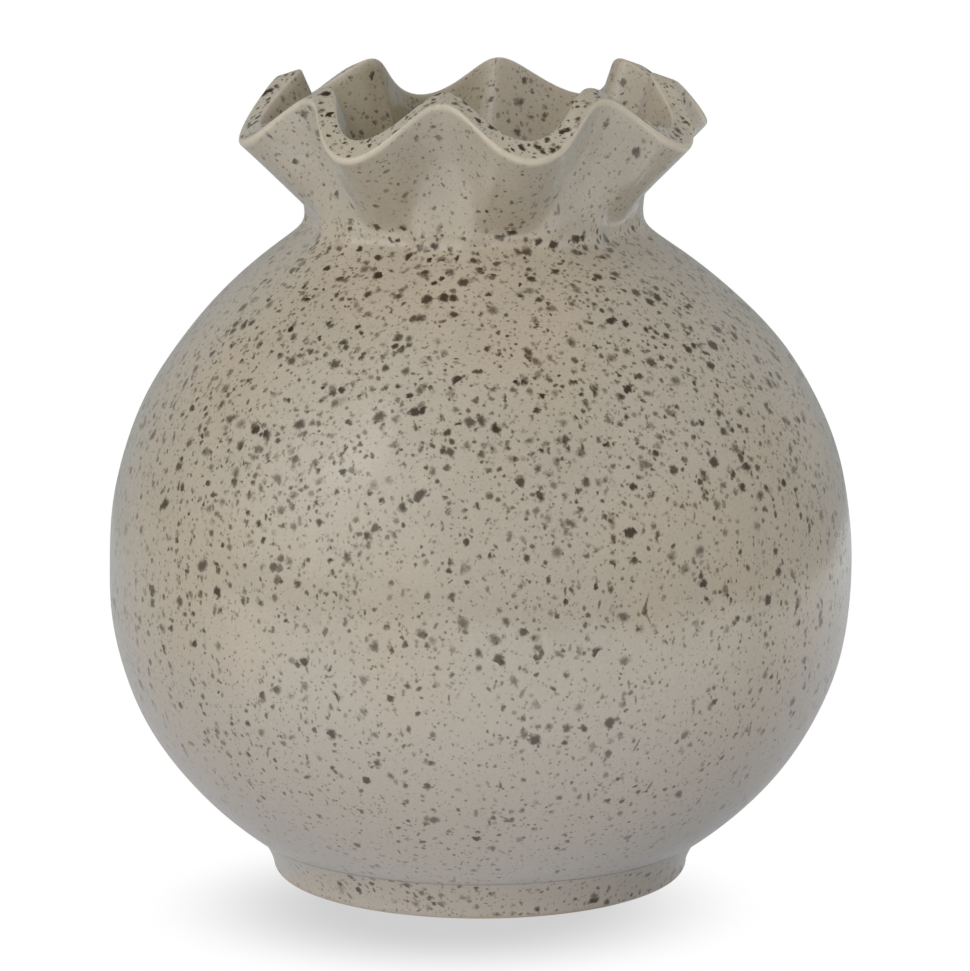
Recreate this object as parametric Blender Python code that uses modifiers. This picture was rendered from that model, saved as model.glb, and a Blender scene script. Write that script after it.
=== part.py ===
"""Round stoneware vase with a fluted, ruffled mouth.

Frame: metres, +Z up. The origin is the centre of the plane that the foot
rests on; +Z runs up the turning axis of the globe.

Four clay pieces, with a slip gap between neighbours:
  foot_ring      turned ring that the vase stands on, with a rebate for the floor
  base_disc      flat floor, let into the foot ring and the bottom of the globe
  globe_body     turned, hollow globe, open at the neck and at the bottom
  ruffled_collar funnel with an eight-lobed lip; its spigot drops into the
                 opening of the globe
"""

import math

import bmesh
import bpy
from mathutils import Vector

MM = 0.001
SLIP = 0.30 * MM              # gap between neighbouring pieces

# Globe: above and below the waist the radius is
# WAIST_RADIUS * (1 - t**p) ** (1/q), where t is the distance from the waist / reach
WAIST_RADIUS = 70.0 * MM
WAIST_Z = 58.0 * MM
UPPER_CURVE = (77.2 * MM, 2.30, 1.40)    # reach, p, q
LOWER_CURVE = (65.3 * MM, 2.19, 1.68)
WALL = 5.0 * MM

# Neck seam, where the collar stands on the globe
NECK_Z = 123.5 * MM
NECK_RADIUS = 31.0 * MM
NECK_BORE = 26.0 * MM         # radius of the clear opening
SPIGOT_RADIUS = 28.6 * MM
SPIGOT_DEPTH = 3.7 * MM
GLOBE_TOP = NECK_Z - 0.5 * SLIP
COLLAR_SEAM = NECK_Z + 0.5 * SLIP
SPIGOT_Z = COLLAR_SEAM - SPIGOT_DEPTH

# Collar: the outer lip edge midway between crest and dip, and the lobing on it
LOBES = 8
LIP_RADIUS = 42.6 * MM
LIP_Z = 145.3 * MM
LOBE_OUT = 3.4 * MM           # a dip stands this much further out than midway
LOBE_DROP = 4.8 * MM          # and this much lower
DIP_AZIMUTH = math.radians(14.3)   # first dip, counted from -Y towards +X
DIP_FULLNESS = 0.12           # the dips are wider than the crests
FLARE_Z = 128.7 * MM          # the funnel starts to flare here
FLARE_BLEND = 6.0 * MM        # softness of that turn
LIP_THICKNESS = 5.6 * MM
CREST_LEAN = math.radians(19.0)    # inward rise of the flat-cut lip at a crest
DIP_LEAN = math.radians(39.2)      # and at a dip

# Crease, where the globe sits on the foot ring
CREASE_RADIUS = 42.6 * MM
CREASE_Z = 7.75 * MM
GLOBE_BOTTOM = CREASE_Z + 0.5 * SLIP
FOOT_TOP = CREASE_Z - 0.5 * SLIP

# Foot ring and floor
FOOT_RADIUS = 39.3 * MM
FOOT_EDGE = 1.6 * MM          # rounding of the lower outer edge
FOOT_BEND_Z = 3.6 * MM        # bend in the outer side of the ring
FOOT_BEND_SHARE = 0.62        # its place on the way in from crease to foot radius
FOOT_INNER = 32.6 * MM
FOOT_INNER_EDGE = 0.8 * MM    # rounding of the lower inner edge
REBATE_RADIUS = 36.5 * MM
REBATE_Z = 5.0 * MM
FLOOR_THICKNESS = 5.0 * MM
FLOOR_EASE = 0.5 * MM         # bevel on the rims of the floor

# Mesh resolution
AROUND_TURNED = 72
AROUND_COLLAR = 96
COLLAR_RISE = 9               # spans from the seam to the lip
GLOBE_OUTER_SPANS = 20
GLOBE_INNER_SPANS = 14
END_CROWDING = 0.35           # 0 spaces the globe stations evenly; more crowds the ends
MERGE_DISTANCE = 0.01 * MM
SHARP_ANGLE = math.radians(40)


# -------------------------------------------------------------------- helpers
def blend(start, end, share):
    return start + (end - start) * share


def link_object(mesh, collection, material):
    """Object with the mesh's name and one material."""
    mesh.materials.append(material)
    obj = bpy.data.objects.new(mesh.name, mesh)
    collection.objects.link(obj)
    return obj


def object_from_bmesh(name, bm, collection, material):
    """Smooth-shaded object with its sharp edges kept; frees the bmesh."""
    mesh = bpy.data.meshes.new(name)
    bm.to_mesh(mesh)
    bm.free()
    mesh.shade_smooth()
    mesh.set_sharp_from_angle(angle=SHARP_ANGLE)
    return link_object(mesh, collection, material)


def build_turned(name, profile, collection, material):
    """Closed half-section of (radius, height) points, swept round Z by a Screw
    modifier. The points run down the outer side and back up the inner side."""
    count = len(profile)
    mesh = bpy.data.meshes.new(name)
    mesh.from_pydata(
        [(radius, 0.0, z) for radius, z in profile],
        [(i, (i + 1) % count) for i in range(count)],
        [],
    )
    obj = link_object(mesh, collection, material)
    screw = obj.modifiers.new("turning", "SCREW")
    screw.axis = "Z"
    screw.angle = 2 * math.pi
    screw.steps = AROUND_TURNED
    screw.render_steps = AROUND_TURNED
    screw.use_merge_vertices = True
    screw.merge_threshold = MERGE_DISTANCE
    screw.use_smooth_shade = True
    return obj


def glaze(name, colour, roughness):
    material = bpy.data.materials.new(name)
    material.use_nodes = True
    shader = material.node_tree.nodes["Principled BSDF"]
    shader.inputs["Base Color"].default_value = (*colour, 1.0)
    shader.inputs["Roughness"].default_value = roughness
    shader.inputs["Metallic"].default_value = 0.0
    return material


# ---------------------------------------------------------------------- globe
def globe_radius(z):
    """Outer radius of the globe at height z."""
    reach, p, q = UPPER_CURVE if z >= WAIST_Z else LOWER_CURVE
    t = abs(z - WAIST_Z) / reach
    return WAIST_RADIUS * max(0.0, 1.0 - t**p) ** (1.0 / q)


def globe_inner(z):
    """(radius, height) of the inner wall, WALL behind the outer wall at z."""
    step = 0.05 * MM
    tangent = Vector((globe_radius(z + step) - globe_radius(z - step), 2 * step))
    normal = Vector((tangent.y, -tangent.x)).normalized()
    return Vector((globe_radius(z), z)) - WALL * normal


def inner_wall_station(radius, low, high):
    """Outer-wall height between low and high whose inner-wall point has this
    radius, found by bisection."""
    rising = globe_inner(high).x > globe_inner(low).x
    for _ in range(50):
        middle = 0.5 * (low + high)
        if (globe_inner(middle).x > radius) == rising:
            high = middle
        else:
            low = middle
    return 0.5 * (low + high)


def globe_stations(start, end, spans):
    """Heights from start to end, closer together towards both ends."""
    heights = []
    for i in range(spans + 1):
        even = i / spans
        crowded = 0.5 - 0.5 * math.cos(math.pi * even)
        heights.append(blend(start, end, blend(even, crowded, END_CROWDING)))
    return heights


def globe_profile():
    bore = SPIGOT_RADIUS + SLIP
    # the search reaches past the rims because the inner wall is offset from the outer
    inner_low = inner_wall_station(REBATE_RADIUS, GLOBE_BOTTOM - 6 * MM, WAIST_Z)
    inner_high = inner_wall_station(bore, WAIST_Z, GLOBE_TOP + 3 * MM)
    outer = globe_stations(GLOBE_TOP, GLOBE_BOTTOM, GLOBE_OUTER_SPANS)
    inner = globe_stations(inner_low, inner_high, GLOBE_INNER_SPANS)
    return [
        *((globe_radius(z), z) for z in outer),
        (REBATE_RADIUS, GLOBE_BOTTOM),
        *(tuple(globe_inner(z)) for z in inner),
        (bore, GLOBE_TOP),
    ]


# ------------------------------------------------------------- foot and floor
def rounded_edge(centre_radius, rounding, start, spans):
    """Quarter arc that touches z = 0; start is its first angle, counted down
    from the outward direction."""
    angles = [start + math.pi / 2 * i / spans for i in range(spans + 1)]
    return [
        (centre_radius + rounding * math.cos(angle), rounding * (1 - math.sin(angle)))
        for angle in angles
    ]


def foot_profile():
    return [
        (CREASE_RADIUS, FOOT_TOP),
        (blend(CREASE_RADIUS, FOOT_RADIUS, FOOT_BEND_SHARE), FOOT_BEND_Z),
        *rounded_edge(FOOT_RADIUS - FOOT_EDGE, FOOT_EDGE, start=0.0, spans=3),
        *rounded_edge(FOOT_INNER + FOOT_INNER_EDGE, FOOT_INNER_EDGE,
                      start=math.pi / 2, spans=2),
        (FOOT_INNER, REBATE_Z),
        (REBATE_RADIUS, REBATE_Z),
        (REBATE_RADIUS, FOOT_TOP),
    ]


def build_floor(collection, material):
    """Cylinder with its edges eased by a Bevel; its origin is its centre."""
    radius = REBATE_RADIUS - SLIP
    bm = bmesh.new()
    bmesh.ops.create_cone(
        bm, cap_ends=True, cap_tris=False, segments=AROUND_TURNED,
        radius1=radius, radius2=radius, depth=FLOOR_THICKNESS,
    )
    obj = object_from_bmesh("base_disc", bm, collection, material)
    obj.location.z = REBATE_Z + SLIP + 0.5 * FLOOR_THICKNESS
    bevel = obj.modifiers.new("eased_edges", "BEVEL")
    bevel.width = FLOOR_EASE
    bevel.segments = 1
    bevel.limit_method = "ANGLE"


# --------------------------------------------------------------------- collar
def lip_edges(azimuth):
    """(radius, height) of the outer and the inner edge of the flat-cut lip."""
    phase = LOBES * (azimuth - DIP_AZIMUTH)
    # 1 in the middle of a dip, -1 on a crest
    wave = math.cos(phase) + 0.5 * DIP_FULLNESS * (1 - math.cos(2 * phase))
    outer = Vector((LIP_RADIUS + LOBE_OUT * wave, LIP_Z - LOBE_DROP * wave))
    lean = blend(CREST_LEAN, DIP_LEAN, 0.5 + 0.5 * math.cos(phase))
    across = Vector((-math.cos(lean), math.sin(lean)))
    return outer, outer + LIP_THICKNESS * across


def flare(z, lip_z):
    """Share of the funnel's outward run at height z: 0 at NECK_Z, 1 at the lip."""
    def ramp(height):
        above = height - FLARE_Z
        return 0.5 * (above + math.hypot(above, FLARE_BLEND))
    start = ramp(NECK_Z)
    return (ramp(z) - start) / (ramp(lip_z) - start)


def collar_wall(seam_radius, edge, azimuth):
    """(radius, height) points from the seam up to one edge of the lip."""
    points = []
    for i in range(COLLAR_RISE + 1):
        z = blend(COLLAR_SEAM, edge.y, i / COLLAR_RISE)
        points.append((blend(seam_radius, edge.x, flare(z, edge.y)), z))
    return points


def collar_section(azimuth):
    """Outer wall upwards, across the lip, inner wall downwards, round the spigot."""
    outer_edge, inner_edge = lip_edges(azimuth)
    return [
        *collar_wall(NECK_RADIUS, outer_edge, azimuth),
        *reversed(collar_wall(NECK_BORE, inner_edge, azimuth)),
        (NECK_BORE, SPIGOT_Z),
        (SPIGOT_RADIUS, SPIGOT_Z),
        (SPIGOT_RADIUS, COLLAR_SEAM),
    ]


def build_collar(collection, material):
    """Closed sections set round Z and skinned with quads."""
    bm = bmesh.new()
    rings = []
    for k in range(AROUND_COLLAR):
        azimuth = 2 * math.pi * k / AROUND_COLLAR
        sine, cosine = math.sin(azimuth), math.cos(azimuth)
        rings.append([
            bm.verts.new((radius * sine, -radius * cosine, z))
            for radius, z in collar_section(azimuth)
        ])
    for k, ring in enumerate(rings):
        following = rings[(k + 1) % len(rings)]
        for i in range(len(ring)):
            j = (i + 1) % len(ring)
            bm.faces.new((ring[i], following[i], following[j], ring[j]))
    bmesh.ops.recalc_face_normals(bm, faces=bm.faces)
    object_from_bmesh("ruffled_collar", bm, collection, material)


def main():
    for obj in list(bpy.data.objects):
        bpy.data.objects.remove(obj, do_unlink=True)
    scene = bpy.context.scene
    scene.unit_settings.system = "METRIC"
    vase = bpy.data.collections.new("ruffled_globe_vase")
    scene.collection.children.link(vase)

    body = glaze("speckled_glaze_body", colour=(0.442, 0.393, 0.325), roughness=0.30)
    collar = glaze("speckled_glaze_collar", colour=(0.435, 0.391, 0.328), roughness=0.32)
    floor = glaze("speckled_glaze_floor", colour=(0.33, 0.30, 0.24), roughness=0.38)
    foot = glaze("speckled_glaze_foot", colour=(0.455, 0.385, 0.315), roughness=0.42)

    build_turned("globe_body", globe_profile(), vase, body)
    build_collar(vase, collar)
    build_floor(vase, floor)
    build_turned("foot_ring", foot_profile(), vase, foot)


main()
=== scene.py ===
"""A round speckled stoneware vase with a ruffled mouth, standing on the origin, +Z up.

The camera looks along +Y. Azimuth 0 is its side of the vase (-Y) and grows towards
its right (+X). Four closed meshes: the globe, the fluted collar, the foot ring and
the floor disc. Lengths are millimetres until a mesh is made, in the glaze too; the
stage, lights and camera are in metres.
"""

import math
from functools import reduce
from types import SimpleNamespace

import bpy
import numpy as np
from mathutils import Matrix, Vector


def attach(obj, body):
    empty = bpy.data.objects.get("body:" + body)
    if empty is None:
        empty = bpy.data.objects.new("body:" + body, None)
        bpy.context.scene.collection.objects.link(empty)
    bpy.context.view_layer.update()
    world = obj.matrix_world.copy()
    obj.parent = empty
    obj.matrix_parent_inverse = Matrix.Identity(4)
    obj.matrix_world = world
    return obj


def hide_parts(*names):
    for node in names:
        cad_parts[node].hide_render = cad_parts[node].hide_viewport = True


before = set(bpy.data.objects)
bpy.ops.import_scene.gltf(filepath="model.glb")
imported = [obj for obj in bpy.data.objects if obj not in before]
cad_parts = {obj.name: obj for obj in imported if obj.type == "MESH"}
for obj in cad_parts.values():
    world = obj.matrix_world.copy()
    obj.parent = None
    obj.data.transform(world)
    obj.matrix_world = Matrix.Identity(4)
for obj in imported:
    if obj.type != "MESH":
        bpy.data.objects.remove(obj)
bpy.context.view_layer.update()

MM = 0.001
TAU = 2 * math.pi

# ---------------------------------------------------------------- driving sizes
# globe: two superellipse-like halves meeting at the waist
WAIST_R, WAIST_Z = 70.0, 58.0
UPPER_REACH, UPPER_P, UPPER_Q = 77.0, 2.35, 1.37
LOWER_REACH, LOWER_P, LOWER_Q = 65.2, 2.20, 1.69
WALL = 5.0
# neck seam
NECK_Z, NECK_R, NECK_BORE = 123.5, 30.0, 26.0
NECK_FILLET, DIP_FILLET = 3.5, 1.6
NECK_OFF_AXIS = (-1.1, -0.5)
SPIGOT_R, SPIGOT_DEPTH = 28.6, 3.7
SLIP = 0.3
# lip, averaged round the mouth
LOBES = 8
LIP_R, LIP_Z = 42.45, 145.3
LOBE_OUT, LOBE_DROP = 3.40, 4.81
DIP_AZIMUTH = math.radians(14.3)
LIP_T = 5.6
CREST_LEAN, DIP_LEAN = math.radians(19.0), math.radians(39.2)
OUTER_BEAD, INNER_BEAD = 1.25, 0.7
# the hand's unevenness: (cos, sin) amplitudes of 1, 2 and 3 waves round the mouth
TURN_WAVES = ((0.15, -0.3), (0.0, 0.1), (0.15, 0.2))    # lobe spacing, radians of phase
REACH_WAVES = ((0.9, -1.0), (0.9, -0.2), (1.1, 0.0))    # radius of the lip
LEVEL_WAVES = ((0.75, 0.35), (0.0, 0.0), (0.4, 0.0))    # height of the lip
# foot ring and floor disc
CREASE_R, CREASE_Z = 42.6, 7.75
FOOT_R, FOOT_EDGE = 39.3, 1.6
FOOT_WALL_PULL = (40.0, 4.6)         # control point of the outer wall's curve
FOOT_INNER, FOOT_INNER_EDGE = 32.6, 0.8
REBATE_R, REBATE_Z = 36.5, 5.0
FLOOR_T, FLOOR_DISH, FLOOR_EDGE = 5.0, 0.35, 0.5
FLOOR_HUB = 0.6                      # radius of the innermost ring of points
# mesh detail
AROUND, AROUND_COLLAR = 320, 640
GLOBE_OUTER_ROWS, GLOBE_INNER_ROWS = 132, 52
COLLAR_OUTER_ROWS, COLLAR_INNER_ROWS = 65, 41
SHARP_ANGLE = math.radians(38)


# ---------------------------------------------------------------------- helpers
def smooth(start, end, x):
    share = np.clip((x - start) / (end - start), 0.0, 1.0)
    return share * share * (3 - 2 * share)


def mix(first, second, share):
    return first + (second - first) * share


def ramp(x, blend):
    """0 below zero and x above it, rounded over about `blend`."""
    return 0.5 * (x + np.sqrt(x * x + blend * blend))


def waves(amplitudes, azimuth):
    total = np.zeros_like(azimuth)
    for turns, (cosine, sine) in enumerate(amplitudes, 1):
        total = total + cosine * np.cos(turns * azimuth) + sine * np.sin(turns * azimuth)
    return total


def bezier(start, control, end, count):
    """Points of a quadratic curve between arrays of shape (..., 2)."""
    share = np.linspace(0, 1, count).reshape((-1,) + (1,) * start.ndim)
    return (1 - share) ** 2 * start + 2 * share * (1 - share) * control + share**2 * end


def ring(columns):
    """Azimuths round the axis, as one row."""
    return np.linspace(0, TAU, columns, endpoint=False)[None, :]


def spread(section, columns=AROUND):
    """(radius, z) pairs repeated round the axis: shape (rows, columns, 2)."""
    return np.repeat(np.array(section, float)[:, None], columns, 1)


def radius_and_z(points):
    return np.moveaxis(points, -1, 0)


def off_axis(z):
    """The neck was luted on a little off the globe's axis. Higher up, the
    lip's own reach holds the offset, so this one fades out."""
    share = smooth(98, 125, z) * (1 - smooth(NECK_Z + 4, NECK_Z + 18, z))
    return NECK_OFF_AXIS[0] * share, NECK_OFF_AXIS[1] * share


def swept(radius, z):
    """Vertex places in metres of a section swept round; arrays are (rows, columns)."""
    azimuth = ring(radius.shape[1])
    shift_x, shift_y = off_axis(z)
    x = radius * np.sin(azimuth) + shift_x
    y = -radius * np.cos(azimuth) + shift_y
    return (np.stack([x, y, z], -1) * MM).reshape(-1, 3)


def quads(rows, columns):
    """Corner indices of the quads, closed both ways: shape (rows, columns, 4)."""
    here = np.arange(rows * columns).reshape(rows, columns)
    above = np.roll(here, -1, 0)
    return np.stack([here, np.roll(here, -1, 1), np.roll(above, -1, 1), above], -1)


def add_piece(mesh):
    mesh.shade_smooth()
    mesh.set_sharp_from_angle(angle=SHARP_ANGLE)
    obj = bpy.data.objects.new(mesh.name, mesh)
    bpy.context.scene.collection.objects.link(obj)
    return obj


def build(name, radius, z):
    """Closed mesh from a section loop swept round the axis."""
    places = swept(radius, z)
    faces = quads(*radius.shape).reshape(-1, 4)
    mesh = bpy.data.meshes.new(name)
    mesh.vertices.add(len(places))
    mesh.vertices.foreach_set("co", places.astype(np.float32).ravel())
    mesh.loops.add(faces.size)
    mesh.loops.foreach_set("vertex_index", faces.astype(np.int32).ravel())
    mesh.polygons.add(len(faces))
    mesh.polygons.foreach_set("loop_start", np.arange(0, faces.size, 4, dtype=np.int32))
    mesh.update(calc_edges=True)
    mesh.validate()
    return add_piece(mesh)


def paint(obj, **masks):
    """Point attributes for the glaze, each an array or one number throughout."""
    count = len(obj.data.vertices)
    for name, values in masks.items():
        layer = obj.data.attributes.new(name, "FLOAT", "POINT")
        layer.data.foreach_set("value", np.full(count, np.ravel(values), np.float32))


def set_uv(mesh, uvs):
    layer = mesh.uv_layers.new(name="OFBake")
    layer.data.foreach_set("uv", uvs.astype(np.float32).ravel())


def lay_out(obj, radius, z, charts):
    """UV map for baking. A chart is a band of the section loop, given as (first
    row, last row, boxes, turned). The band is cut into as many equal lengths
    round the axis as there are boxes (u0, v0, u1, v1), and each fills its box,
    with azimuth along u and the section along v, or swapped if `turned`."""
    rows, columns = radius.shape
    profile = np.stack([radius.mean(1), z.mean(1)], -1)
    step = np.linalg.norm(np.roll(profile, -1, 0) - profile, axis=1)
    run = np.concatenate([[0.0], np.cumsum(step)])
    uvs = np.zeros((rows, columns, 4, 2))
    column = np.arange(columns)
    for first, last, boxes, turned in charts:
        rise = (run[first : last + 1] - run[first]) / (run[last] - run[first])
        parts = len(boxes)
        part = column * parts // columns
        left = column * parts / columns - part
        right = (column + 1) * parts / columns - part
        for k, (u0, v0, u1, v1) in enumerate(boxes):
            mine = part == k
            low, near = np.meshgrid(rise[:-1], left[mine], indexing="ij")
            high, far = np.meshgrid(rise[1:], right[mine], indexing="ij")
            corners = ((low, near), (low, far), (high, far), (high, near))
            for corner, (up, along) in enumerate(corners):
                u, v = (up, along) if turned else (along, up)
                uvs[first:last, mine, corner, 0] = u0 + (u1 - u0) * u
                uvs[first:last, mine, corner, 1] = v0 + (v1 - v0) * v
    set_uv(obj.data, uvs)


# --------------------------------------------------------------- speck controls
def speck_density(z, inside, face=0.0):
    """How crowded the iron specks are: most on the shoulder and the upper half,
    thinning towards the foot, few on the overhanging collar, many on the lip."""
    density = 0.14 + 0.32 * smooth(5.0, 58.0, z) + 0.46 * smooth(56.0, 94.0, z)
    density = mix(density, 0.46, 1 - smooth(6.0, 10.0, z))                     # foot
    density = mix(density, 0.22, smooth(NECK_Z + 0.5, NECK_Z + 5.0, z))        # collar
    density = mix(density, 0.48, inside)
    return mix(density, 0.86, face)


def speck_dust(z, inside, face=0.0):
    """Extra small specks where the big ones are few: low down, on the collar,
    inside the mouth and on the lip."""
    low = 1 - smooth(40.0, 66.0, z)
    collar = smooth(NECK_Z, NECK_Z + 5.0, z)
    dust = 0.06 + 0.10 * low + 0.16 * collar
    dust = mix(dust, 0.18, inside)
    return mix(dust, 0.62, face)


def speck_run(z, face=0.0):
    """How far the specks are drawn out downwards: on steep and hanging walls."""
    low = 1 - smooth(74.0, 102.0, z)
    high = smooth(NECK_Z - 2.0, NECK_Z + 4.0, z)
    return np.maximum(low, high) * (1 - face)


# --------------------------------------------------------------- vase's surface
def globe_radius(z):
    up = np.clip((z - WAIST_Z) / UPPER_REACH, 0, 1)
    down = np.clip((WAIST_Z - z) / LOWER_REACH, 0, 1)
    return WAIST_R * np.where(
        z >= WAIST_Z,
        (1 - up**UPPER_P) ** (1 / UPPER_Q),
        (1 - down**LOWER_P) ** (1 / LOWER_Q),
    )


def globe_inner(z):
    """Radius and height one wall thickness in from the outside at height z."""
    step = 0.05
    dr = globe_radius(z + step) - globe_radius(z - step)
    dz = np.full_like(dr, 2 * step)
    length = np.hypot(dr, dz)
    return globe_radius(z) - WALL * dz / length, z + WALL * dr / length


def lobe_phase(azimuth):
    return LOBES * (azimuth - DIP_AZIMUTH) + waves(TURN_WAVES, azimuth)


def dip_share(azimuth):
    """1 in a dip of the lip, 0 on a crest."""
    return 0.5 + 0.5 * np.cos(lobe_phase(azimuth))


def lip_outer(azimuth):
    """Radius and height of the lip's outer corner; it reaches out where it dips."""
    phase = lobe_phase(azimuth)
    doubled = 1 - np.cos(2 * phase)
    out = np.cos(phase) + 0.059 * doubled
    drop = np.cos(phase) + 0.033 * doubled
    radius = LIP_R + waves(REACH_WAVES, azimuth) + LOBE_OUT * out
    return radius, LIP_Z + waves(LEVEL_WAVES, azimuth) - LOBE_DROP * drop


def lip_inner(azimuth):
    radius, z = lip_outer(azimuth)
    lean = mix(CREST_LEAN, DIP_LEAN, dip_share(azimuth))
    return radius - LIP_T * np.cos(lean), z + LIP_T * np.sin(lean)


def flare(height, top, bottom, blend):
    """0 at `bottom`, 1 at `top`: level below height 0, then rising straight."""
    base = ramp(bottom, blend)
    return (ramp(height, blend) - base) / (ramp(top, blend) - base)


def outside(z, azimuth):
    """Radius of the vase's outside at height z, from the shoulder to the lip:
    the globe and the flaring, fluted collar, filleted into each other."""
    lip_radius, lip_z = lip_outer(azimuth)
    phase = lobe_phase(azimuth)
    # below the dips the flare starts lower and turns more tightly
    foot = smooth(0.12, 0.86, dip_share(azimuth))
    start = NECK_Z + mix(5.0, 3.0, foot)
    share = flare(z - start, lip_z - start, bottom=-30.0, blend=mix(8.0, 1.5, foot))
    radius = NECK_R + (lip_radius - NECK_R) * share
    # side ridges of the panels stand proud half-way up, the flutes sink
    swell = np.sin(np.pi * np.clip((z - start + 1.0) / (lip_z - start + 1.0), 0, 1)) ** 1.3
    from_dip = np.abs(np.mod(phase + np.pi, TAU) - np.pi)
    # one side of each panel is pinched more sharply than the other
    side = np.where(np.mod(phase, TAU) > np.pi, 1.0, 0.0)
    ridge = np.exp(-(((from_dip - 1.20) / mix(0.34, 0.25, side)) ** 2)) * mix(0.8, 1.25, side)
    ridge = 0.95 * ridge * smooth(1.0, 9.0, z - start)
    radius = radius + swell * (0.30 * np.cos(phase) - 0.35 + ridge)
    # the larger of collar and globe, rounded where they meet
    globe = globe_radius(z)
    fillet = mix(NECK_FILLET, DIP_FILLET, foot) * (1 - smooth(NECK_Z + 6, NECK_Z + 14, z))
    return 0.5 * (radius + globe + np.sqrt((radius - globe) ** 2 + fillet**2))


# -------------------------------------------------------------- ruffled collar
def wall_outer(share, azimuth):
    """Outer wall of the collar: share 0 at the neck seam, 1 at the lip."""
    z = mix(NECK_Z, lip_outer(azimuth)[1], share)
    return np.stack([outside(z, azimuth), z], -1)


def wall_inner(share, azimuth):
    lip_radius, lip_z = lip_inner(azimuth)
    dip = dip_share(azimuth)
    z = mix(NECK_Z, lip_z, share)
    start = NECK_Z + mix(7.5, 5.5, dip)
    rise = flare(z - start, lip_z - start, bottom=NECK_Z - start, blend=mix(9.0, 5.0, dip))
    swell = np.sin(np.pi * share) ** 1.2
    radius = NECK_BORE + (lip_radius - NECK_BORE) * rise
    return np.stack([radius + swell * 0.5 * np.cos(lobe_phase(azimuth)), z], -1)


def cut_back(wall, back):
    """The wall evenly respaced, ending `back` short of the lip."""
    step = np.linalg.norm(np.diff(wall, axis=0), axis=-1)
    run = np.concatenate([np.zeros((1, wall.shape[1])), np.cumsum(step, 0)])
    wanted = np.linspace(0, 1, len(wall))[:, None] * (run[-1] - back)
    cut = np.empty_like(wall)
    for j, axis in np.ndindex(wall.shape[1:]):
        cut[:, j, axis] = np.interp(wanted[:, j], run[:, j], wall[:, j, axis])
    return cut


def make_collar():
    azimuth = ring(AROUND_COLLAR)
    outer = wall_outer(np.linspace(0, 1, COLLAR_OUTER_ROWS)[:, None] ** 0.92, azimuth)
    inner = wall_inner(np.linspace(0, 1, COLLAR_INNER_ROWS)[:, None], azimuth)
    outer_corner, inner_corner = outer[-1], inner[-1]
    # both walls stop short of the lip's corners, which are rounded
    outer = cut_back(outer, OUTER_BEAD)
    inner = cut_back(inner, INNER_BEAD)[::-1]
    across = inner_corner - outer_corner
    across = across / np.linalg.norm(across, axis=-1, keepdims=True)
    flat_start = outer_corner + OUTER_BEAD * across
    flat_end = inner_corner - INNER_BEAD * across
    bead = bezier(outer[-1], outer_corner, flat_start, 10)[1:]
    flat = mix(flat_start, flat_end, np.linspace(0, 1, 9)[1:-1, None, None])
    inner_edge = bezier(flat_end, inner_corner, inner[0], 8)[:-1]
    spigot = spread([
        (NECK_BORE, NECK_Z - SPIGOT_DEPTH * 0.5),
        (NECK_BORE, NECK_Z - SPIGOT_DEPTH),
        (SPIGOT_R, NECK_Z - SPIGOT_DEPTH),
        (SPIGOT_R, NECK_Z - 0.02),
    ], AROUND_COLLAR)
    points = np.concatenate([outer, bead, flat, inner_edge, inner, spigot])
    radius, z = radius_and_z(points)
    obj = build("vase_collar", radius, z)
    corners = (0.006, 0.506)
    boxes = [(u, v, u + 0.488, v + 0.488) for v in corners for u in corners]
    lay_out(obj, radius, z, [(0, len(points), boxes, False)])

    # masks that follow the rows of the section across the lip
    row = np.indices(radius.shape)[0]
    bead_row = len(outer)
    edge_row = bead_row + len(bead) + len(flat)
    edge_middle = edge_row + 0.5 * len(inner_edge)
    inside = np.clip((row - (edge_row + len(inner_edge) - 1)) / 3.0, 0, 1)
    from_bead = np.abs(row - (bead_row + 0.30 * len(bead)))
    bead_line = np.clip(1.25 - from_bead / (0.62 * len(bead)), 0, 1)
    inner_line = np.clip(1.0 - np.abs(row - edge_middle) / (0.5 * len(inner_edge)), 0, 1)
    face = np.clip((row - (bead_row + 0.55 * len(bead))) / 3.0, 0, 1)
    face = face * np.clip((edge_middle - row) / 2.0, 0, 1)
    # painted shade inside the mouth, deepest on its left (-X); the glaze breaks less on the crests
    inner_shade_weight = 0.15 + 0.85 * smooth(9.0, -11.0, radius * np.sin(azimuth))
    hollow = mix(0.62, 1.0, smooth(0.2, 0.7, dip_share(azimuth)))
    paint(
        obj,
        inside=inside * inner_shade_weight,
        lip_face=face,
        edge_break=np.maximum(bead_line * hollow, 0.75 * inner_line),
        rich=speck_density(z, inside, face),
        run=speck_run(z, face),
        dust=speck_dust(z, inside, face),
        bare=0.0,
    )
    return obj


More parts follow.
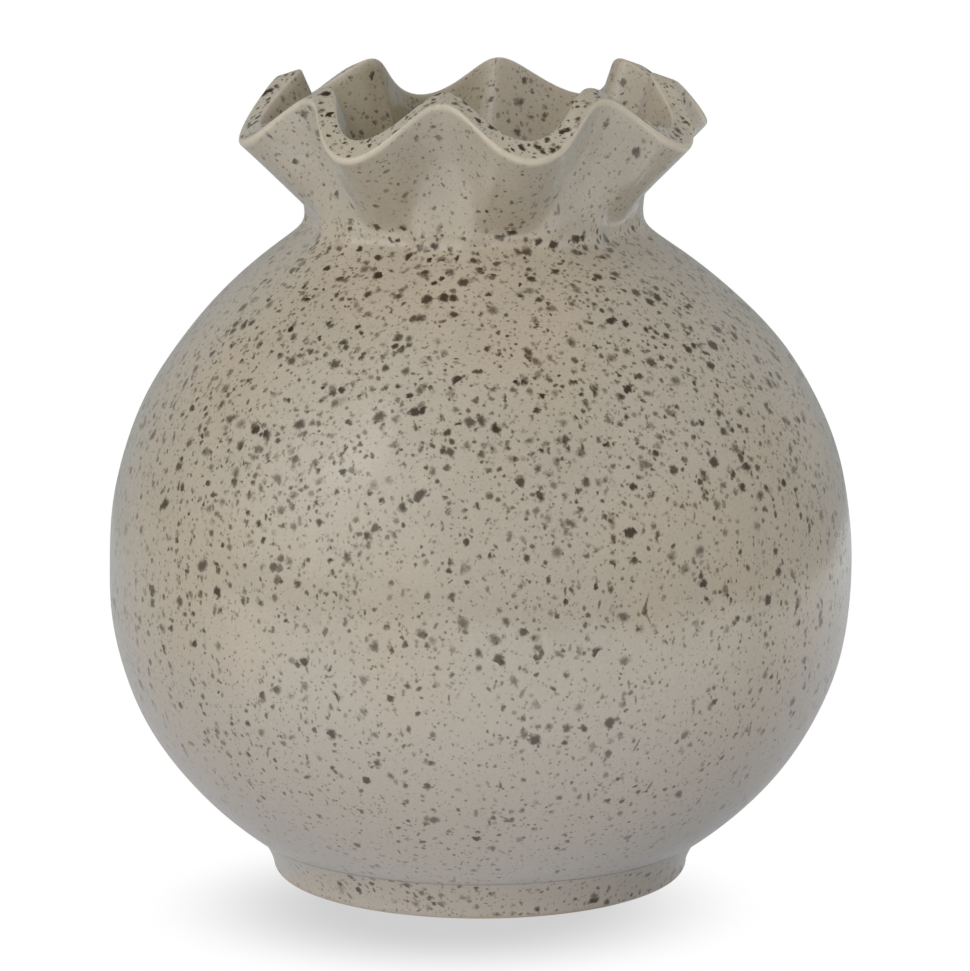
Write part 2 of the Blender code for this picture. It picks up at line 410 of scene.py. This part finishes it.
# ------------------------------------------------------------------ globe body
def make_globe():
    azimuth = ring(AROUND)
    # rows lie a little closer together towards the two seams
    share = np.linspace(0, 1, GLOBE_OUTER_ROWS)
    share = mix(share, 0.5 - 0.5 * np.cos(np.pi * share), 0.35)
    outer_z = np.repeat(mix(CREASE_Z, NECK_Z, share)[:, None], AROUND, 1)
    outer = np.stack([outside(outer_z, azimuth), outer_z], -1)
    # the inner wall ends where it meets the neck's bore and the foot's rebate
    bore = SPIGOT_R + SLIP
    tries = np.linspace(CREASE_Z - 6, NECK_Z + 3, 4000)
    inner_radius = globe_inner(tries)[0]
    low = tries[(inner_radius > REBATE_R) & (tries < WAIST_Z)][0]
    high = tries[(inner_radius > bore) & (tries > WAIST_Z)][-1]
    inner = np.stack(globe_inner(np.linspace(high, low, GLOBE_INNER_ROWS)), -1)
    rest = spread([(bore, NECK_Z), *inner, (REBATE_R, CREASE_Z)])
    radius, z = radius_and_z(np.concatenate([outer, rest]))
    # slow unevenness of hand turning, none at the two seams
    calm = smooth(CREASE_Z, CREASE_Z + 12, z) * (1 - smooth(NECK_Z - 16, NECK_Z - 4, z))
    radius = radius + calm * (
        0.16 * np.sin(2 * azimuth + 0.6 + z * 0.012)
        + 0.10 * np.sin(3 * azimuth - 1.1 + z * 0.05)
        + 0.05 * np.sin(0.31 * z + 1.5 * np.sin(azimuth))
    )
    obj = build("vase_globe", radius, z)
    rows, top = len(radius), GLOBE_OUTER_ROWS
    outer_boxes = [(0.004, 0.004, 0.766, 0.488), (0.004, 0.494, 0.766, 0.978)]
    lay_out(obj, radius, z, [
        (0, top - 1, outer_boxes, False),
        (top - 1, top, [(0.004, 0.982, 0.766, 0.988)], False),
        (top, rows - 1, [(0.772, 0.004, 0.996, 0.978)], True),
        (rows - 1, rows, [(0.004, 0.991, 0.766, 0.997)], False),
    ])
    inside = np.clip((np.indices(radius.shape)[0] - (top - 1)) / 2.0, 0, 1)
    paint(
        obj,
        # the inner wall takes the painted shade of the inside
        inside=inside,
        edge_break=0.0,
        # most specks on the side towards the camera
        rich=speck_density(z, inside) * (0.84 + 0.16 * np.cos(azimuth - 0.3)),
        run=speck_run(z),
        dust=speck_dust(z, inside),
        bare=0.0,
    )
    return obj


# ----------------------------------------------------------------- foot, floor
def rounded(radius, size, side, count):
    """Quarter round from the ground up to a wall at `radius`; side -1 lies
    inwards of the wall, 1 outwards."""
    angle = np.linspace(0, np.pi / 2, count)
    return np.stack([radius + side * size * (1 - np.sin(angle)), size * (1 - np.cos(angle))], -1)


def make_foot():
    azimuth = ring(AROUND)
    wall_foot, wall_top = np.array([FOOT_R, FOOT_EDGE]), np.array([CREASE_R, CREASE_Z])
    flat = np.linspace(FOOT_INNER + FOOT_INNER_EDGE, FOOT_R - FOOT_EDGE, 9)[1:-1]
    section = [
        # inner wall down; its round edge is listed from the ground up
        *((FOOT_INNER, z) for z in np.linspace(REBATE_Z, FOOT_INNER_EDGE, 5)[:-1]),
        *rounded(FOOT_INNER, FOOT_INNER_EDGE, side=1, count=6),
        # under side outwards, outer edge and wall up
        *((x, 0.0) for x in flat),
        *rounded(FOOT_R, FOOT_EDGE, side=-1, count=10),
        *bezier(wall_foot, np.array(FOOT_WALL_PULL), wall_top, 22)[1:],
        # seat and rebate
        (REBATE_R, CREASE_Z),
        (REBATE_R, REBATE_Z),
    ]
    radius, z = radius_and_z(spread(section))
    # slow unevenness of the outer wall, none at the crease
    calm = smooth(0.2, 2.5, z) * (1 - smooth(5.5, 7.7, z)) * (radius > REBATE_R + 0.5)
    uneven = 0.12 * np.sin(3 * azimuth + 0.4) + 0.08 * np.sin(7 * azimuth + 1.9)
    radius = radius + calm * uneven
    obj = build("vase_foot", radius, z)
    boxes = [(0.006, 0.006 + k / 3, 0.994, k / 3 + 0.327) for k in range(3)]
    lay_out(obj, radius, z, [(0, len(section), boxes, False)])
    # wavering height up to which the glaze was wiped off
    wiped = (
        0.55
        + 0.22 * np.sin(5 * azimuth + 0.5)
        + 0.16 * np.sin(11 * azimuth + 2.0)
        + 0.1 * np.sin(23 * azimuth)
    )
    paint(
        obj,
        # the inner faces of the foot and its rebate take a little painted shade
        inside=((radius < REBATE_R + 0.2) & (z > 1.0)) * 0.4,
        edge_break=0.0,
        rich=speck_density(z, 0.0),
        run=0.4,
        dust=0.10,
        bare=1 - smooth(wiped - 0.18, wiped + 0.22, z),
    )
    return obj


def make_floor_disc():
    low = REBATE_Z + SLIP
    high, rim = low + FLOOR_T, REBATE_R - SLIP
    flat_rim = rim - FLOOR_EDGE
    section = [(x, low) for x in np.linspace(FLOOR_HUB, flat_rim, 10)]
    section += [(rim, low + FLOOR_EDGE), (rim, high - FLOOR_EDGE)]
    # the upper side dishes a little towards its middle
    section += [
        (x, high - FLOOR_DISH * (1 - (x / rim) ** 2)) for x in np.linspace(flat_rim, FLOOR_HUB, 24)
    ]
    rows = len(section)
    hubs = [(0, 0, section[0][1] * MM), (0, 0, section[-1][1] * MM)]
    places = np.vstack([swept(*radius_and_z(spread(section))), hubs])
    faces = quads(rows, AROUND)[:-1].reshape(-1, 4).tolist()
    low_hub, last_row = rows * AROUND, (rows - 1) * AROUND
    for j in range(AROUND):
        following = (j + 1) % AROUND
        faces.append((low_hub, following, j))
        faces.append((low_hub + 1, last_row + j, last_row + following))
    mesh = bpy.data.meshes.new("vase_floor")
    mesh.from_pydata(places.tolist(), [], faces)
    mesh.update()
    obj = add_piece(mesh)
    # UV map for baking: the upper side in one corner, the rest in the other
    spots = places[[loop.vertex_index for loop in mesh.loops], :2] / (rim * MM)
    upper = np.repeat(
        [face.normal.z > 0.3 for face in mesh.polygons],
        [face.loop_total for face in mesh.polygons],
    )
    set_uv(mesh, np.where(upper[:, None], 0.305 + 0.298 * spots, 0.800 + 0.190 * spots))
    # points above the underside, inside the vase, take the painted shade
    inside = places[:, 2] > (low + 1) * MM
    paint(obj, inside=inside, edge_break=0.0, rich=0.3, run=0.0, bare=0.0)
    return obj


# ---------------------------------------------------------------- shader nodes
class Net:
    """Writes the shader nodes of a material or world as expressions."""

    def __init__(self, owner):
        owner.use_nodes = True
        self.tree = owner.node_tree
        self.tree.nodes.clear()

    def new(self, kind, inputs=(), **settings):
        node = self.tree.nodes.new(kind)
        for key, value in settings.items():
            setattr(node, key, value)
        for key, value in dict(inputs).items():
            self.put(node.inputs[key], value)
        return node

    def put(self, socket, value):
        if isinstance(value, bpy.types.NodeSocket):
            self.tree.links.new(value, socket)
        elif socket.type == "RGBA":
            socket.default_value = (*value, 1.0)
        else:
            socket.default_value = value

    def math(self, operation, first, second=0.0, *third):
        values = enumerate((first, second, *third))
        return self.new("ShaderNodeMath", values, operation=operation).outputs[0]

    def add(self, first, second):
        return self.math("ADD", first, second)

    def sub(self, first, second):
        return self.math("SUBTRACT", first, second)

    def mul(self, first, second):
        return self.math("MULTIPLY", first, second)

    def mul_add(self, value, times, plus):
        return self.math("MULTIPLY_ADD", value, times, plus)

    def larger(self, first, second):
        return self.math("MAXIMUM", first, second)

    def vec(self, operation, *vectors):
        node = self.new("ShaderNodeVectorMath", enumerate(vectors), operation=operation)
        return node.outputs["Value" if operation in ("LENGTH", "DOT_PRODUCT") else 0]

    def scale(self, vector, factor):
        inputs = {0: vector, "Scale": factor}
        return self.new("ShaderNodeVectorMath", inputs, operation="SCALE").outputs[0]

    def noise(self, vector, scale, detail=2.0, rough=0.5, shift=None, output=0):
        """Output 0 is the value, 1 the colour; a shift gives another pattern."""
        if shift:
            vector = self.vec("ADD", vector, shift)
        inputs = {"Vector": vector, "Scale": scale, "Detail": detail, "Roughness": rough}
        return self.new("ShaderNodeTexNoise", inputs, noise_dimensions="3D").outputs[output]

    def cells(self, vector, cell):
        """Middle and random colour of the nearest of scattered cells, `cell` apart."""
        inputs = {"Vector": vector, "Scale": 1.0 / cell, "Randomness": 1.0}
        node = self.new("ShaderNodeTexVoronoi", inputs, voronoi_dimensions="3D", feature="F1")
        return node.outputs["Position"], node.outputs["Color"]

    def range(self, value, between, to=(0.0, 1.0), kind="SMOOTHSTEP"):
        keys = ("Value", "From Min", "From Max", "To Min", "To Max")
        inputs = zip(keys, (value, *between, *to))
        node = self.new("ShaderNodeMapRange", inputs, interpolation_type=kind, clamp=True)
        return node.outputs["Result"]

    def mix(self, share, first, second):
        inputs = {0: share, 6: first, 7: second}
        return self.new("ShaderNodeMix", inputs, data_type="RGBA").outputs[2]

    def tint(self, colour, towards, mask, strength):
        return self.mix(self.mul(mask, strength), colour, towards)

    def lerp(self, share, first, second):
        inputs = {0: share, 2: first, 3: second}
        return self.new("ShaderNodeMix", inputs, data_type="FLOAT").outputs[0]

    def join(self, x, y, z):
        return self.new("ShaderNodeCombineXYZ", enumerate((x, y, z))).outputs[0]

    def split(self, colour):
        return tuple(self.new("ShaderNodeSeparateColor", {0: colour}).outputs)

    def axes(self, vector):
        return tuple(self.new("ShaderNodeSeparateXYZ", {0: vector}).outputs)


def srgb(*channels):
    """Linear colour from 8-bit sRGB."""
    shares = [channel / 255 for channel in channels]
    return tuple(c / 12.92 if c <= 0.04045 else ((c + 0.055) / 1.055) ** 2.4 for c in shares)


# ----------------------------------------------------------------------- glaze
PAINTED = ("inside", "edge_break", "rich", "dust", "run", "bare", "lip_face")
DARK, BROWN = srgb(52, 36, 12), srgb(82, 64, 34)

# Speck layers, each laid over the ones before. Columns: name; cell spacing; least and
# greatest size; stretch; share of cells filled at no and full crowding; edge
# softness; pattern seed; lumpiness; least stain and its spread; colour, or the
# colours between which a speck's random tone picks.
SPECK_LAYERS = (
    ("fine", 0.80, (0.14, 0.31), 0.94, (0.58, 0.96), 0.06, 5.0, 0.25, (0.30, 0.45),
     (srgb(104, 92, 66),)),
    ("mid_b", 1.12, (0.22, 0.49), 0.94, (0.52, 1.00), 0.08, 4.0, 0.4, (0.36, 0.50),
     (srgb(90, 76, 47),)),
    ("needles", 2.4, (0.23, 0.39), 0.985, (0.22, 0.42), 0.05, 6.0, 0.25, (0.45, 0.45),
     (srgb(80, 65, 37),)),
    ("mid_a", 1.60, (0.33, 0.74), 0.92, (0.22, 0.97), 0.10, 3.0, 0.6, (0.50, 0.46),
     (BROWN,)),
    ("strokes",),    # drawn by strokes()
    ("big_b", 2.15, (0.45, 1.04), 0.88, (-0.02, 0.92), 0.10, 2.0, 0.8, (0.60, 0.38),
     (BROWN, DARK)),
    ("big_a", 2.6, (0.60, 1.48), 0.78, (-0.15, 0.92), 0.10, 1.0, 0.9, (0.70, 0.28),
     (srgb(66, 49, 22), DARK)),
)
DUST_CELL = 1.8    # layers with cells no wider than this also take the dust
STROKE_STAIN, STROKE_COLOUR = (0.50, 0.35), srgb(80, 65, 40)
STROKE_CELL = 8.5
# decorrelate one random number or colour into others
SCATTER = SimpleNamespace(seed=(37.1, 17.7, 5.3), lie=(61.0, 83.0, 97.0), length=71.0, slim=53.0)


def specks(net, place, lumps, cell, sizes, stretch, upright, presence, soft, seed):
    """Iron specks: small ellipsoids scattered in space, cut by the surface.
    Each gets its own size, length and direction; `upright` above 1 turns them
    towards the vertical. Returns the mask and each speck's random tone."""
    shifted = net.vec("ADD", place, tuple(seed * step for step in SCATTER.seed))
    centre, colour = net.cells(shifted, cell)
    chance, girth, tone = net.split(colour)
    lie = net.vec("FRACTION", net.vec("MULTIPLY", colour, SCATTER.lie))
    lie = net.vec("SUBTRACT", lie, (0.5, 0.5, 0.5))
    lie = net.vec("NORMALIZE", net.vec("MULTIPLY", lie, net.join(1.0, 1.0, upright)))
    offset = net.vec("SUBTRACT", shifted, centre)
    squared = net.vec("DOT_PRODUCT", offset, offset)
    along = net.vec("DOT_PRODUCT", offset, lie)
    longer = net.math("FRACT", net.mul(tone, SCATTER.length))
    longer = net.mul(net.mul(longer, longer), stretch)
    squared = net.sub(squared, net.mul(longer, net.mul(along, along)))
    distance = net.add(net.math("SQRT", net.larger(squared, 0.0)), lumps)
    small, large = sizes
    size = net.mul_add(net.mul(girth, girth), times=large - small, plus=small)
    # the higher its tone, the firmer a speck's edge
    firm = net.mul(size, net.mul_add(tone, times=0.36, plus=0.22))
    mask = net.range(distance, between=(size, net.sub(firm, soft)))
    return net.mul(mask, net.math("LESS_THAN", chance, presence)), tone


def strokes(net, place, lumps, presence):
    """A few long thin strokes, mostly upright, lying in the surface: what is
    measured from each one's middle leaves out the distance from the axis."""
    shifted = net.vec("ADD", place, (211.0, 97.0, 43.0))
    centre, colour = net.cells(shifted, STROKE_CELL)
    chance, second, tone = net.split(colour)
    outward = net.vec("NORMALIZE", net.vec("MULTIPLY", place, (1.0, 1.0, 0.0)))
    offset = net.vec("SUBTRACT", shifted, centre)
    outwards = net.scale(outward, net.vec("DOT_PRODUCT", offset, outward))
    offset = net.vec("SUBTRACT", offset, outwards)
    # sideways lean of up to 0.45 to the unit of height
    lean_x, lean_y = (net.mul_add(value, times=0.9, plus=-0.45) for value in (second, tone))
    lie = net.vec("NORMALIZE", net.join(lean_x, lean_y, 1.0))
    along = net.vec("DOT_PRODUCT", offset, lie)
    along = net.mul(along, along)
    across = net.sub(net.vec("DOT_PRODUCT", offset, offset), along)
    slim = net.math("FRACT", net.mul(second, SCATTER.slim))
    slim = net.mul_add(slim, times=0.20, plus=0.07)
    squared = net.add(across, net.mul(along, net.mul(slim, slim)))
    lumpiness, edge = 0.35, 0.35
    distance = net.math("SQRT", net.larger(squared, 0.0))
    distance = net.add(distance, net.mul(lumps, lumpiness))
    size = net.mul_add(slim, times=1.1, plus=0.15)
    mask = net.range(distance, between=(size, net.mul(size, edge)))
    return net.mul(mask, net.math("LESS_THAN", chance, presence)), tone


def ground_tone(net, here):
    """Colour of the glaze without its specks; cooler where seen aslant, a painted reflection."""
    place, height = here.place, here.height
    wide = net.noise(place, scale=0.022)
    patches = net.noise(place, scale=0.09, detail=3.0, rough=0.55, shift=(31.0, 7.0, 3.0))
    cloudy = net.noise(place, scale=0.35, detail=3.0, rough=0.6, shift=(5.0, 57.0, 13.0))
    fine = net.noise(place, scale=2.2, detail=3.0, rough=0.7)
    warm, cool = srgb(184, 172, 155), srgb(181, 172, 158)
    ground = net.mix(net.range(wide, between=(0.38, 0.62)), warm, cool)
    patches = net.range(patches, between=(0.45, 0.72))
    ground = net.tint(ground, srgb(172, 167, 150), mask=patches, strength=0.35)
    cloudy = net.range(cloudy, between=(0.42, 0.72))
    ground = net.tint(ground, srgb(192, 181, 163), mask=cloudy, strength=0.22)
    # rosier towards the lower half
    low = net.range(height, between=(66.0, 30.0))
    ground = net.tint(ground, srgb(184, 174, 165), mask=low, strength=0.60)
    # painted reflection: where the glaze is seen aslant it turns cooler
    aslant_reflection = net.range(here.slant, between=(0.45, 0.95), to=(0.0, 0.55))
    ground = net.mix(aslant_reflection, ground, net.mix(low, srgb(176, 177, 170), srgb(181, 174, 171)))
    ground = net.tint(ground, srgb(177, 173, 159), mask=here.lip_face, strength=0.40)
    # brightness: finely mottled, higher on the lip and a little on the shoulder
    bright = net.mul_add(fine, times=0.34, plus=0.87)
    bright = net.mul(bright, net.mul_add(here.lip_face, times=0.14, plus=1.0))
    above = net.range(height, between=(84.0, 106.0))
    shoulder = net.mul(above, net.range(height, between=(129.0, 124.0)))
    bright = net.mul(bright, net.mul_add(shoulder, times=0.045, plus=1.01))
    return net.scale(ground, bright)


def speckle(net, here, colour):
    """Lays the speck layers over the colour; returns it and the layers' masks."""
    place = here.place
    ragged_by, middle = 0.9, 0.5
    wobble = net.noise(place, scale=0.75, rough=0.55, output=1)
    wobble = net.vec("SUBTRACT", wobble, (middle,) * 3)
    ragged = net.vec("ADD", place, net.scale(wobble, ragged_by))
    lumps = net.sub(net.noise(place, scale=1.7, detail=3.0, rough=0.62), middle)
    gather = net.noise(place, scale=0.10, rough=0.55, shift=(9.0, 3.0, 71.0))
    gather = net.range(gather, between=(0.34, 0.62), to=(0.60, 1.35), kind="LINEAR")
    crowd = net.mul(here.rich, gather)
    upright = net.mul_add(here.run, times=2.2, plus=0.9)
    dusty = net.add(crowd, here.dust)
    # specks stay paler where the glaze is thin; on the body they also fade where seen aslant, a
    # painted reflection veiling them, while on the lip they are darker
    depth_and_veil = net.range(here.rich, between=(0.10, 0.90), to=(0.92, 1.03), kind="LINEAR")
    body_veil_aslant = net.range(here.slant, between=(0.40, 0.90), to=(1.0, 0.42))
    lip_depth = 1.3
    depth_and_veil = net.mul(depth_and_veil, net.lerp(here.lip_face, body_veil_aslant, lip_depth))

    masks = {}
    for name, *layer in SPECK_LAYERS:
        if name == "strokes":
            presence = net.mul_add(here.run, times=0.36, plus=0.03)
            mask, tone = strokes(net, place, lumps, presence)
            (least, more), tint = STROKE_STAIN, STROKE_COLOUR
        else:
            cell, sizes, stretch, filled, soft, seed, lumpiness, (least, more), tints = layer
            crowding = crowd if cell > DUST_CELL else dusty
            presence = net.range(crowding, between=(0.0, 1.0), to=filled, kind="LINEAR")
            mask, tone = specks(
                net, ragged, net.mul(lumps, lumpiness), cell, sizes, stretch,
                upright, presence, soft, seed,
            )
            tint = net.mix(tone, *tints) if len(tints) > 1 else tints[0]
        strength = net.mul_add(tone, times=more, plus=least)
        colour = net.mix(net.mul(net.mul(mask, depth_and_veil), strength), colour, tint)
        masks[name] = mask
    return colour, SimpleNamespace(**masks)


def edges_and_clay(net, here, colour):
    """The pale lip edges, the painted shade inside and the wiped foot."""
    # the glaze breaks pale over the lip's edges
    middle, ragged_by = 0.5, 0.5
    ragged = net.sub(net.noise(here.place, scale=0.6, detail=3.0, rough=0.6), middle)
    edge = net.add(here.edge_break, net.mul(ragged, ragged_by))
    pale = net.range(edge, between=(0.25, 0.75))
    colour = net.tint(colour, srgb(210, 199, 180), mask=pale, strength=0.86)
    # painted shade inside the mouth and in the hidden hollows: darker and greener
    shaded_inside = net.vec("MULTIPLY", colour, srgb(206, 202, 182))
    colour = net.tint(colour, shaded_inside, mask=here.inside, strength=0.9)
    # bare clay where the foot was wiped
    grain = net.noise(here.place, scale=1.6, detail=4.0, rough=0.7)
    return net.mix(here.bare, colour, net.mix(grain, srgb(206, 188, 166), srgb(182, 160, 138)))


def gloss(net, here, masks):
    """Roughness: patchy glaze, duller specks, matt clay."""
    speck_dulling, clay_roughness = 0.10, 0.85
    patchy = net.noise(here.place, scale=0.12, detail=3.0, rough=0.6)
    patchy = net.mul_add(patchy, times=0.12, plus=0.13)
    speck = net.larger(net.larger(masks.big_a, masks.big_b), masks.mid_a)
    rough = net.add(patchy, net.mul(speck, speck_dulling))
    return net.lerp(here.bare, rough, clay_roughness)


def relief(net, here, masks):
    """Normal from orange peel, slow ripples, pitted specks and clay grain."""
    # heights, mm
    peel_lift, slow_lift, big_pit, mid_pit, clay_grain = 0.05, 0.5, 0.035, 0.012, 0.08
    peel = net.noise(here.place, scale=0.55)
    slow = net.noise(here.place, scale=0.07)
    lift = net.mul_add(peel, times=peel_lift, plus=net.mul(slow, slow_lift))
    lift = net.sub(lift, net.mul(net.larger(masks.big_a, masks.big_b), big_pit))
    lift = net.sub(lift, net.mul(net.larger(masks.mid_a, masks.mid_b), mid_pit))
    grain = net.noise(here.place, scale=3.0, detail=4.0, rough=0.8)
    lift = net.add(lift, net.mul(net.mul(here.bare, grain), clay_grain))
    inputs = {"Strength": 1.0, "Distance": MM, "Height": lift}
    return net.new("ShaderNodeBump", inputs).outputs[0]


def glaze_material(name):
    material = bpy.data.materials.new(name)
    net = Net(material)
    here = SimpleNamespace(**{
        key: net.new("ShaderNodeAttribute", attribute_name=key).outputs["Fac"] for key in PAINTED
    })
    coords = net.new("ShaderNodeTexCoord").outputs["Object"]
    here.place = net.scale(coords, 1000.0)    # metres to mm
    here.height = net.axes(here.place)[2]
    here.slant = net.new("ShaderNodeLayerWeight", {"Blend": 0.5}).outputs["Facing"]

    colour, masks = speckle(net, here, ground_tone(net, here))
    shader = net.new("ShaderNodeBsdfPrincipled", {
        "Base Color": edges_and_clay(net, here, colour),
        "Roughness": gloss(net, here, masks),
        "IOR": 1.5,
        "Normal": relief(net, here, masks),
    })
    net.new("ShaderNodeOutputMaterial", {0: shader.outputs[0]})
    return material


# ---------------------------------------------------------------------- pieces
pieces = [
    (make_globe(), "globe_body", "body_glaze"),
    (make_collar(), "ruffled_collar", "collar_glaze"),
    (make_foot(), "foot_ring", "foot_glaze"),
    (make_floor_disc(), "base_disc", "floor_glaze"),
]
for obj, node, slot in pieces:
    obj.data.materials.append(glaze_material("glaze_" + node))
    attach(obj, "root")
    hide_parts(node)


# ----------------------------------------------------------------------- stage
STAGE_HALF, STAGE_DROP = 40.0, 0.0002
SHADOW_MIDDLE, SHADOW_RADII = (-0.005, -0.028, 0.0), (0.043, 0.039)
SHADOW_TONE = srgb(207, 207, 207)[0]
SHADE_MIDDLE = (0.050, -0.020, 0.0)


def stage_material():
    material = bpy.data.materials.new("stage_white")
    net = Net(material)
    place = net.new("ShaderNodeTexCoord").outputs["Object"]
    # to the camera: white, with a soft round shadow forwards and a little to the left
    from_shadow = net.vec("SUBTRACT", place, SHADOW_MIDDLE)
    shrink = (*(1 / radius for radius in SHADOW_RADII), 0.0)
    from_shadow = net.vec("LENGTH", net.vec("MULTIPLY", from_shadow, shrink))
    seen = net.range(from_shadow, between=(0.45, 1.38), to=(SHADOW_TONE, 1.0))
    # to the glaze: a white round table top; beyond its edge the room is dimmer,
    # which shows as a faint level line
    x, y, _ = net.axes(place)
    path = net.new("ShaderNodeLightPath").outputs
    table = net.range(net.vec("LENGTH", place), between=(0.44, 0.40))
    front = net.range(y, between=(-0.02, -0.12))
    # the vase shades the table close to its right side
    from_shade = net.vec("LENGTH", net.vec("SUBTRACT", place, SHADE_MIDDLE))
    shade = net.range(from_shade, between=(0.012, 0.060), to=(0.22, 0.58))
    # strengths of the room for diffuse and glossy light, and of the table in front
    room_diffuse, room_glossy, front_glossy = 0.74, 0.38, 1.75
    diffuse = net.lerp(table, room_diffuse, shade)
    right = net.range(x, between=(0.06, 0.30), to=(0.50, 1.05))
    glossy = net.lerp(table, room_glossy, net.lerp(front, right, front_glossy))
    card = net.lerp(path["Is Glossy Ray"], diffuse, glossy)
    cool, white = (0.95, 0.98, 1.0), (1.0, 1.0, 1.0)
    glow = net.new("ShaderNodeEmission", {
        "Strength": net.lerp(path["Is Camera Ray"], card, seen),
        "Color": net.mix(path["Is Camera Ray"], cool, white),
    })
    net.new("ShaderNodeOutputMaterial", {0: glow.outputs[0]})
    return material


def stage_floor():
    mesh = bpy.data.meshes.new("stage_floor")
    corners = [(x * STAGE_HALF, y * STAGE_HALF, 0) for x, y in ((-1, -1), (1, -1), (1, 1), (-1, 1))]
    mesh.from_pydata(corners, [], [(0, 1, 2, 3)])
    obj = bpy.data.objects.new("stage_floor", mesh)
    obj.location.z = -STAGE_DROP
    bpy.context.scene.collection.objects.link(obj)
    mesh.materials.append(stage_material())


def area(name, location, target, width, height, power):
    light = bpy.data.lights.new(name, "AREA")
    light.shape = "RECTANGLE"
    light.size = width
    light.size_y = height
    light.energy = power
    obj = bpy.data.objects.new(name, light)
    obj.location = location
    direction = Vector(target) - Vector(location)
    obj.rotation_euler = direction.to_track_quat("-Z", "Y").to_euler()
    bpy.context.scene.collection.objects.link(obj)


stage_floor()
# a tall strip to the left of the camera, whose reflection stands on the globe,
# and a small lamp overhead that leaves a spot on the shoulder
area("strip_left", location=(-0.645, -0.60, 0.87), target=(0, 0, 0.09),
     width=0.20, height=0.62, power=0.55)
area("lamp_top", location=(0.0, 0.20, 1.10), target=(0, 0, 0.12),
     width=0.10, height=0.10, power=0.10)

# ---------------------------------------------------------------------- studio
# soft round cards: azimuth to the right of the camera's side and rise above the
# horizon, degrees; strength
WINDOW_CARDS = ((-45, 15, 1.08), (-75, 15, 0.66), (-50, 52, 0.62))
ROOM_CARDS = (
    (-15, 15, 0.34), (15, 15, 0.34), (45, 15, 0.46), (75, 15, 0.44),
    (90, 52, 0.44), (150, 15, 0.38), (-150, 15, 0.36),
)
COOL_CARD = (115, 8, 0.22)
CARD_HALF_WIDTH = math.radians(45.0)
ROOM_COLOUR, COOL_COLOUR = (1.0, 0.985, 0.96), (0.9, 0.97, 1.0)


def studio():
    """White to the camera; for light, a room bright on the left and in front,
    dimmer elsewhere, with a cool card behind on the right."""
    world = bpy.data.worlds.new("studio")
    bpy.context.scene.world = world
    net = Net(world)
    way = net.vec("NORMALIZE", net.new("ShaderNodeTexCoord").outputs["Generated"])

    def card(azimuth, rise, strength):
        turn, tilt = math.radians(azimuth), math.radians(rise)
        level = math.cos(tilt)
        towards = (math.sin(turn) * level, -math.cos(turn) * level, math.sin(tilt))
        facing = net.vec("DOT_PRODUCT", way, towards)
        return net.mul(net.range(facing, between=(math.cos(CARD_HALF_WIDTH), 1.0)), strength)

    window = reduce(net.add, [card(*values) for values in WINDOW_CARDS])
    room = reduce(net.add, [card(*values) for values in ROOM_CARDS])
    room = net.scale(ROOM_COLOUR, net.add(room, window))
    colour = net.vec("ADD", room, net.scale(COOL_COLOUR, card(*COOL_CARD)))
    light = net.new("ShaderNodeBackground", {"Color": colour, "Strength": 1.0})
    white = net.new("ShaderNodeBackground", {"Color": (1, 1, 1)})
    seen = net.new("ShaderNodeLightPath").outputs["Is Camera Ray"]
    choose = net.new("ShaderNodeMixShader", enumerate((seen, light.outputs[0], white.outputs[0])))
    net.new("ShaderNodeOutputWorld", {0: choose.outputs[0]})


studio()
bpy.context.scene.view_settings.view_transform = "Standard"
bpy.context.scene.view_settings.look = "None"

# ---------------------------------------------------------------------- camera
CAMERA_PLACE = (0.0, -1.0015, 0.2761)
CAMERA_FORWARD = (0.0009, 0.9802, -0.1981)
FOCAL_LENGTH, SENSOR_WIDTH = 201.2, 36.0    # mm


def add_camera():
    camera = bpy.data.cameras.new("camera")
    camera.sensor_width = SENSOR_WIDTH
    camera.lens = FOCAL_LENGTH
    camera.clip_start = 0.05
    camera.clip_end = 100.0
    obj = bpy.data.objects.new("camera", camera)
    forward = Vector(CAMERA_FORWARD).normalized()
    right = forward.cross(Vector((0, 0, 1))).normalized()
    upward = right.cross(forward).normalized()
    pose = Matrix((right, upward, -forward)).transposed().to_4x4()
    pose.translation = Vector(CAMERA_PLACE)
    obj.matrix_world = pose
    bpy.context.scene.collection.objects.link(obj)
    bpy.context.scene.camera = obj


add_camera()

bpy.context.view_layer.update()
